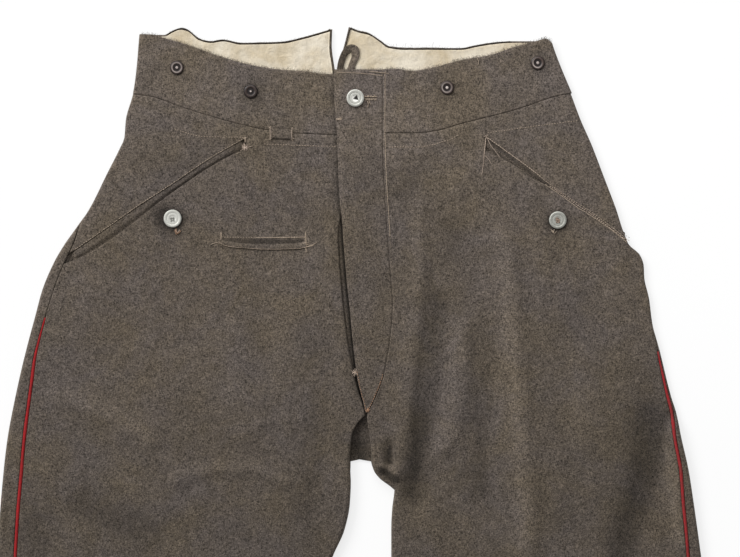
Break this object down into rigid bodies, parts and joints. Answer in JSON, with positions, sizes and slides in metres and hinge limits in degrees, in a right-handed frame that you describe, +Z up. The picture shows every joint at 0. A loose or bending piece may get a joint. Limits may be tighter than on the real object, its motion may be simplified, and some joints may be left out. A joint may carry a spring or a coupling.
{
  "type": "military trousers",
  "caption": "Thick wool military trousers laid flat, front up, with a button fly, slanted hip pockets, a watch pocket, brace buttons, a cream waist lining and red piping down the side seams.",
  "frame": {"origin": "under the middle of the box, on the surface that the trousers lie on", "axes": "+Y towards the waist, +Z up through the front, +X towards the wearer's left"},
  "size_m": [0.6735, 1.092, 0.0126],
  "materials": {
    "wool": "fulled wool cloth, matt",
    "wool_dark": "fulled wool cloth, matt",
    "lining_cotton": "plain cotton, matt",
    "piping_red": "fulled wool piping, matt",
    "horn_dark": "dark horn, satin",
    "zinc": "dull zinc, worn"
  },
  "bodies": {
    "root": {"back_right": "wool", "back_left": "wool", "front_right": "wool", "front_left": "wool", "waistband_right": "wool", "waistband_left": "wool", "hip_right": "wool", "hip_left": "wool", "pocket_welt_right": "wool_dark", "pocket_welt_left": "wool_dark", "lining_right": "lining_cotton", "lining_left": "lining_cotton", "fly_strip": "wool", "fly_underlap": "wool_dark", "watch_pocket_welt": "wool", "watch_loop": "wool", "hanger_loop": "wool_dark", "piping_right": "piping_red", "piping_left": "piping_red", "brace_button_1": "horn_dark", "brace_button_2": "horn_dark", "brace_button_3": "horn_dark", "brace_button_4": "horn_dark", "fly_button": "zinc", "pocket_button_right": "zinc", "pocket_button_left": "zinc"}
  },
  "joints": []
}
